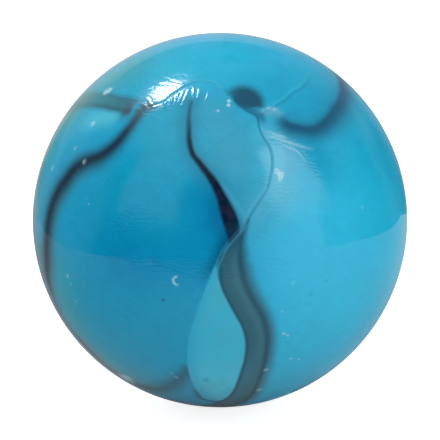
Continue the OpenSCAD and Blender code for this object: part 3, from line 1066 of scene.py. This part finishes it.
def glow_material():
    """Gives the level that the room's meshes hold at each point."""
    graph = Graph("room_glow")
    level = graph.attribute("glow").outputs["Fac"]
    shine = graph.add("ShaderNodeEmission", {"Strength": level})
    graph.tree.nodes.remove(graph.shader)
    graph.put(graph.tree.nodes["Material Output"].inputs["Surface"], shine.outputs[0])
    return graph.material


def make_glow_mesh(name, verts, count, rings, material, glow):
    """A stage mesh between rings of count points each, which only the gloss shows."""
    faces = []
    for k in range(rings):
        for i in range(count):
            a, b = k * count + i, k * count + (i + 1) % count
            faces.append((a, b, b + count, a + count))
    obj = make_stage_mesh(name, verts, faces, material)
    places = np.array([v.co for v in obj.data.vertices])
    levels = glow(places).astype(np.float32)
    obj.data.attributes.new("glow", "FLOAT", "POINT").data.foreach_set("value", levels)
    glossy_only(obj)


def make_carpet(name, inner, growths, material, glow):
    """Rings of faces just over the floor, from the inner outline to where it has grown to."""
    verts = []
    for k in range(CARPET_RINGS + 1):
        for p, growth in zip(inner, growths):
            verts.append((*(p * growth ** (k / CARPET_RINGS)), LOW.z + CARPET_LIFT * MM))
    make_glow_mesh(name, verts, len(inner), CARPET_RINGS, material, glow)


def make_room():
    """A dome with the lit and dark parts of the room, and under it the bench and the pale
    paper on which the marble lies."""
    material = glow_material()
    verts = []
    for k in range(DOME_RINGS + 1):
        for i in range(DOME_TURNS):
            verts.append(tuple(ROOM_RADIUS * direction(i - 180, DOME_BOTTOM + k)))
    make_glow_mesh("room", verts, DOME_TURNS, DOME_RINGS, material, room_glow)

    edge = []
    for corner, following in zip(PAPER, PAPER[1:] + PAPER[:1]):
        side = np.array(following) - corner
        edge += [(np.array(corner) + side * t / PAPER_STEPS) * MM for t in range(PAPER_STEPS)]
    to_wall = [ROOM_RADIUS / np.linalg.norm(p) for p in edge]
    make_carpet("bench", edge, to_wall, material, room_glow)
    inner = [p / PAPER_GROWTH for p in edge]
    make_carpet("paper", inner, [PAPER_GROWTH] * len(edge), material, paper_glow)


def make_floor():
    graph = Graph("floor")
    shader = graph.shader
    shader.inputs["Base Color"].default_value = (PAPER_TONE, PAPER_TONE, PAPER_TONE, 1)
    shader.inputs["Roughness"].default_value = 1.0
    shader.inputs["Specular IOR Level"].default_value = 0.0
    shader.inputs["Emission Color"].default_value = (1, 1, 1, 1)
    seen = graph.add("ShaderNodeLightPath").outputs["Is Camera Ray"]
    graph.put(shader.inputs["Emission Strength"], graph.math("MULTIPLY", seen, PAPER_LIFT))
    half = 2 * ROOM_RADIUS
    corners = [(x * half, y * half, LOW.z) for x, y in ((-1, -1), (1, -1), (1, 1), (-1, 1))]
    make_stage_mesh("floor", corners, [(0, 1, 2, 3)], graph.material)


def make_world():
    """White where the camera, the gloss or clear glass sees it, and a plain fill light."""
    world = bpy.data.worlds.new("studio")
    bpy.context.scene.world = world
    world.use_nodes = True
    tree = world.node_tree
    rays = tree.nodes.new("ShaderNodeLightPath")
    seen = rays.outputs["Is Camera Ray"]
    for name in ("Is Glossy Ray", "Is Transmission Ray"):
        either = tree.nodes.new("ShaderNodeMath")
        either.operation = "MAXIMUM"
        tree.links.new(seen, either.inputs[0])
        tree.links.new(rays.outputs[name], either.inputs[1])
        seen = either.outputs[0]
    level = tree.nodes.new("ShaderNodeMapRange")
    level.inputs["To Min"].default_value = WORLD_FILL
    tree.links.new(seen, level.inputs["Value"])
    background = tree.nodes["Background"]
    background.inputs["Color"].default_value = (1, 1, 1, 1)
    tree.links.new(level.outputs["Result"], background.inputs["Strength"])


def make_lamp(name, place, width, power):
    """A soft box. The gloss shows it through the room's own glow."""
    lamp = bpy.data.objects.new(name, bpy.data.lights.new(name, "AREA"))
    bpy.context.scene.collection.objects.link(lamp)
    towards = direction(*place)
    lamp.location = tuple(LAMP_DISTANCE * towards)
    lamp.rotation_euler = Vector(-towards).to_track_quat("-Z", "Y").to_euler()
    lamp.data.size = width
    lamp.data.energy = power
    lamp.visible_glossy = False
    lamp.visible_camera = False


def make_camera():
    camera = bpy.data.objects.new("camera", bpy.data.cameras.new("camera"))
    bpy.context.scene.collection.objects.link(camera)
    towards = direction(0, VIEW_ELEVATION)
    camera.location = Vector(tuple(CAMERA_DISTANCE * towards)) + CENTRE
    camera.rotation_euler = Vector(tuple(-towards)).to_track_quat("-Z", "Y").to_euler()
    half_angle = math.asin(BALL_R / CAMERA_DISTANCE)
    camera.data.sensor_width = SENSOR
    camera.data.lens = SENSOR / 2 * FRAME_FILL / math.tan(half_angle)
    camera.data.clip_start = CLIP_START
    camera.data.clip_end = CLIP_END
    bpy.context.scene.camera = camera


make_marble()
make_camera()
make_floor()
make_world()
for lamp in LAMPS:
    make_lamp(*lamp)
make_room()

bpy.context.scene.view_settings.view_transform = "Standard"
